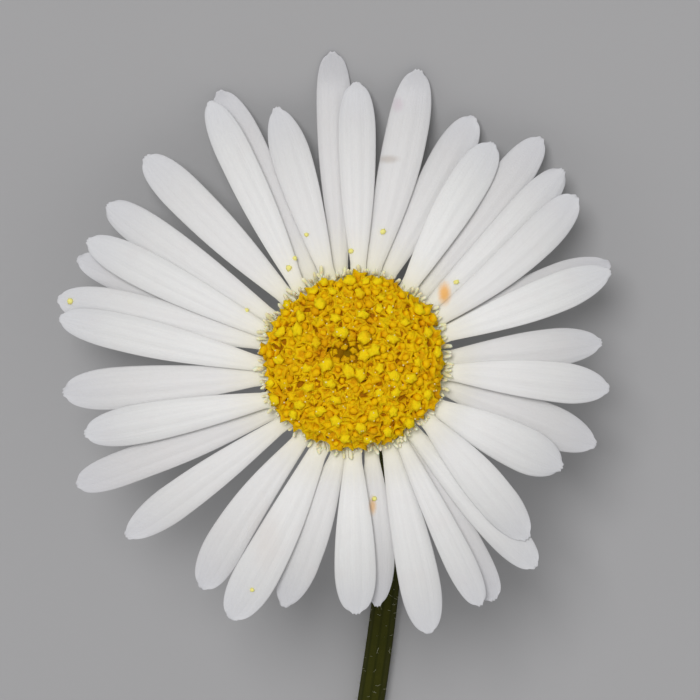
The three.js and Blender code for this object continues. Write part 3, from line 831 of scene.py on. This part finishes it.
knobbed, others = disc_places()
feet = np.concatenate([knobbed, others])
has_knob = np.arange(len(feet)) < len(knobbed)
foot_radius = np.hypot(*feet.T)
foot_turn = np.arctan2(feet[:, 0], feet[:, 1])
from_hollow = np.hypot(*(feet - hollows[0][:2]).T)
lean = disc_lean(foot_radius) + np.where(has_knob, 0.05, 0.2) * rng.normal(0, 1, len(feet))
side_lean = foot_turn + rng.normal(0, 0.3, len(feet)) / (0.5 + foot_radius)
ages = np.clip(1.2 - from_hollow / 0.75, 0, 1)
foot_height = dome_height(*feet.T) + rng.normal(0, 0.045, len(feet))
opening = np.where(rng.uniform(0, 1, len(feet)) < 0.2, rng.uniform(0, 0.35, len(feet)),
                   rng.uniform(0.55, 1.15, len(feet)))
opening = np.where(has_knob, rng.uniform(0.5, 1.0, len(feet)), opening * (ages < 0.3))
opening = np.where((foot_radius > 2.6) & ~has_knob, rng.uniform(0.7, 1.1, len(feet)), opening)

floret_rings = np.array([  # radius and height: notch closed, notch open, lobe closed, lobe open
    [0.10, -0.30, 0.10, -0.30, 0.10, -0.30, 0.10, -0.30],
    [0.165, 0.00, 0.17, 0.00, 0.185, 0.02, 0.18, 0.00],
    [0.18, 0.15, 0.225, 0.17, 0.225, 0.16, 0.40, 0.14],
    [0.12, 0.26, 0.18, 0.22, 0.165, 0.29, 0.30, 0.275],
    [0.03, 0.28, 0.10, 0.08, 0.035, 0.31, 0.115, 0.10],
])


def floret_shapes(opening):
    """Tube florets with five pointed lobes: each ring has a corner in the middle of every lobe and
    one in the notch beside it. Each lobe lies between its closed and its open place by its own
    share, the floret's opening with a random part of its own."""
    count = len(opening)
    turn = np.radians(np.arange(10) * 36)
    is_notch = np.tile([False, True], 5)
    share = opening[:, None] + rng.normal(0, 0.17, (count, 5)) * np.minimum(1, 0.3 + opening)[:, None]
    share = np.clip(share, 0, 1.3).repeat(2, axis=1)[:, None, :]
    rings = floret_rings[None, :, :, None]
    closed = np.where(is_notch, rings[:, :, 0:2], rings[:, :, 4:6])
    opened = np.where(is_notch, rings[:, :, 2:4], rings[:, :, 6:8])
    radius, height = (closed[:, :, k] + (opened - closed)[:, :, k] * share for k in (0, 1))
    radius = radius * (1 + rng.normal(0, 0.07, radius.shape))
    return np.stack([radius * np.cos(turn), radius * np.sin(turn), height], -1)


sizes = rng.uniform(0.92, 1.18, len(feet)) - 0.3 * ages
shapes = floret_shapes(opening) * sizes[:, None, None, None]
lobe_points = planted(shapes, *feet.T, foot_height, lean, side_lean, rng.uniform(0, 6, len(feet)))
# Marks for height of each ring: low at the foot and in the throat, where the colour paints shade, high
# at the lobes' tips, where it paints light.
level = np.array([0.0, 0.3, 0.75, 1.1, 0.4])[:, None]
level = np.where((opening < 0.4)[:, None, None] & (np.arange(5) == 4)[:, None], 1.0, level)
add_piece("disc_lobes", lobe_points, "disc_florets",
          disc_skin("lobe_skin", deep_gold, gold, bright_gold, 0.025), high=level,
          tint=rng.uniform(0, 1, len(feet))[:, None, None],
          young=(ages ** 1.5)[:, None, None] * (1.1 - 0.8 * level))

knob_profile = np.array([[0.06, 0.08], [0.1, 0.22], [0.165, 0.31], [0.175, 0.4], [0.12, 0.48],
                         [0.02, 0.5]])
big = 0.9 + 0.3 * np.exp(-(((from_hollow[:len(knobbed)] - 0.7) / 0.3) ** 2))
shapes = spun(knob_profile, 10, rng.uniform(0.92, 1.28, len(knobbed)) * big, (1.14, 0.92))
crown = 0.11 * np.where(np.arange(10) % 2, -1, 1) + rng.normal(0, 0.13, shapes[:, 2:, :, 0].shape)
shapes[:, 2:, :, :2] *= (1 + crown)[..., None]
shapes[:, 2:, :, 2] += 0.12 * crown * np.array([1, 1, 1, 0.3])[:, None]
knob_points = planted(shapes, *knobbed.T, foot_height[:len(knobbed)], lean[:len(knobbed)],
                      side_lean[:len(knobbed)], rng.uniform(0, 6, len(knobbed)))
add_piece("disc_knobs", knob_points, "disc_florets",
          disc_skin("knob_skin", deep_gold, (0.88, 0.54, 0.002), (0.97, 0.7, 0.006), 0.035),
          high=np.array([0.0, 0.3, 0.75, 1.1, 1.2, 1.2])[:, None],
          tint=0.6 * rng.uniform(0, 1, len(knobbed))[:, None, None], young=0)

anther_profile = np.array([[0.05, 0.0], [0.085, 0.12], [0.12, 0.22], [0.1, 0.3], [0.02, 0.33]])
short = np.flatnonzero(~has_knob & (opening > 0.5) & (rng.uniform(0, 1, len(feet)) < 0.7))
shapes = spun(anther_profile, 6, rng.uniform(0.8, 1.35, len(short)), (1.15, 0.9))
shapes[:, 2:, :, :2] *= rng.normal(1, 0.14, shapes[:, 2:, :, 0].shape)[..., None]
anther_points = planted(shapes, *feet[short].T, foot_height[short], lean[short], side_lean[short],
                        rng.uniform(0, 6, len(short)))
add_piece("disc_anthers", anther_points, "disc_florets",
          disc_skin("anther_skin", deep_gold, gold, bright_gold, 0.02),
          high=np.array([0.0, 0.3, 0.7, 0.95, 1.0])[:, None],
          tint=rng.uniform(0, 1, len(short))[:, None, None], young=0)

# Pollen: single sticky yellow grains that the knobs have shed, stuck to the petals, and much finer
# pale grains over the disc itself, which are pollen dust and also painted glints on the disc.

fallen = np.array([  # azimuth and distance from the middle of each grain on the petals
    (12.5, 4.7), (52.0, 4.7), (326.5, 4.1), (339.5, 4.8), (331.5, 4.3), (297.0, 4.3),
    (357.0, 3.9), (204.0, 8.9), (282.0, 10.4), (171.5, 5.0),
])
under_grain = 0.14  # distance within which the highest point of a petal carries a grain
fine_grains_and_glints = 170

fallen_turn = np.radians(fallen[:, :1])
fallen_right, fallen_up = fallen[:, 1:] * np.sin(fallen_turn), fallen[:, 1:] * np.cos(fallen_turn)
aside = np.hypot(petal_tops[:, 0] - fallen_right, petal_tops[:, 1] - fallen_up)
settled = petal_tops[np.where(aside < under_grain, petal_tops[:, 2], -np.inf).argmax(1)]
dust_from = np.concatenate([lobe_points[:, 3].reshape(-1, 3), knob_points[:, 4].reshape(-1, 3)])
dust_and_glints = dust_from[rng.integers(0, len(dust_from), fine_grains_and_glints)] - head_centre
dust_and_glints = np.stack([dust_and_glints @ face_right, dust_and_glints @ face_up, dust_and_glints @ face_out], -1)
grains = np.concatenate([settled, dust_and_glints])
grain_size = np.concatenate([rng.uniform(1.2, 1.8, len(settled)), rng.uniform(0.25, 0.5, len(dust_and_glints))])
grain_profile = np.array([[0.02, -0.05], [0.06, -0.02], [0.07, 0.02], [0.05, 0.06], [0.012, 0.07]])
shapes = spun(grain_profile, 6, grain_size)
shapes[..., :2] *= rng.normal(1, 0.14, shapes.shape[:3])[..., None]
points = planted(shapes, *grains.T, 0 * grain_size, 0 * grain_size, rng.uniform(0, 6, len(grains)))
# The fine pale grains are pollen dust and painted glints as well.
add_piece("pollen_grains", points, "disc_florets",
          disc_skin("pollen_skin", gold, (0.92, 0.8, 0.16), (0.96, 0.88, 0.3), 0.02,
                    (0.97, 0.84, 0.4)),
          high=1.1, tint=0.33, young=(np.arange(len(grains)) >= len(settled))[:, None, None])

# The studio: a pale matt table top, a soft white room and one large soft lamp, and the camera
# looking straight at the face of the head.

floor_size = 1.2


def floor_skin():
    finish = Finish("table_skin")
    tone = finish.noise(finish.place(), 0.05, 3.0)
    return finish.finished(
        {"Specular IOR Level": 0.2},
        colour=finish.mix(tone, (0.43, 0.435, 0.445), (0.45, 0.455, 0.465)), roughness=0.7 + 0.1 * tone)


mesh = bpy.data.meshes.new("table_top")
half = floor_size / 2
corners = [(-half, -half, 0), (half, -half, 0), (half, half, 0), (-half, half, 0)]
mesh.from_pydata(corners, [], [(0, 1, 2, 3)])
mesh.materials.append(floor_skin())
table_top = new_object("table_top", mesh)

world = bpy.data.worlds.new("soft_room")
world.use_nodes = True
background = world.node_tree.nodes["Background"].inputs
background["Color"].default_value = (1.0, 0.985, 0.985, 1.0)
background["Strength"].default_value = 0.4
bpy.context.scene.world = world
bpy.context.scene.view_settings.view_transform = "Standard"

lamp = bpy.data.lights.new("soft_lamp", "SUN")
lamp.energy = 1.75
lamp.angle = math.radians(18)
lamp.color = (1.0, 0.98, 0.975)
lamp_object = new_object("soft_lamp", lamp)
lamp_from = unit(face_out - 0.13 * face_right + 0.15 * face_up)
lamp_side = unit(np.cross([0.0, 0.0, 1.0], lamp_from))
lamp_axes = np.stack([lamp_side, np.cross(lamp_from, lamp_side), lamp_from], -1)
lamp_object.matrix_world = Matrix(lamp_axes.tolist()).to_4x4()

frame_pixels = 700  # width and height of the picture
disc_pixel = (354, 362)  # where the middle of the petals' ring lies in it
photo_scale = 0.0351  # millimetres for each pixel at the disc's face
disc_face_out = 1.2  # of the disc's face before the ring
camera_distance = 205.0
camera = bpy.data.cameras.new("camera")
camera.sensor_width = 36.0
camera.lens = camera.sensor_width * (camera_distance - disc_face_out) / (frame_pixels * photo_scale)
camera.clip_start, camera.clip_end = 0.01, 10.0
camera_object = new_object("camera", camera)
camera_place = (head_centre + camera_distance * face_out
                + (frame_pixels / 2 - disc_pixel[0]) * photo_scale * face_right
                - (frame_pixels / 2 - disc_pixel[1]) * photo_scale * face_up)
camera_axes = np.stack([face_right, face_up, face_out], -1)
camera_object.matrix_world = Matrix.Translation((camera_place * MM).tolist()) @ Matrix(
    camera_axes.tolist()).to_4x4()
bpy.context.scene.camera = camera_object
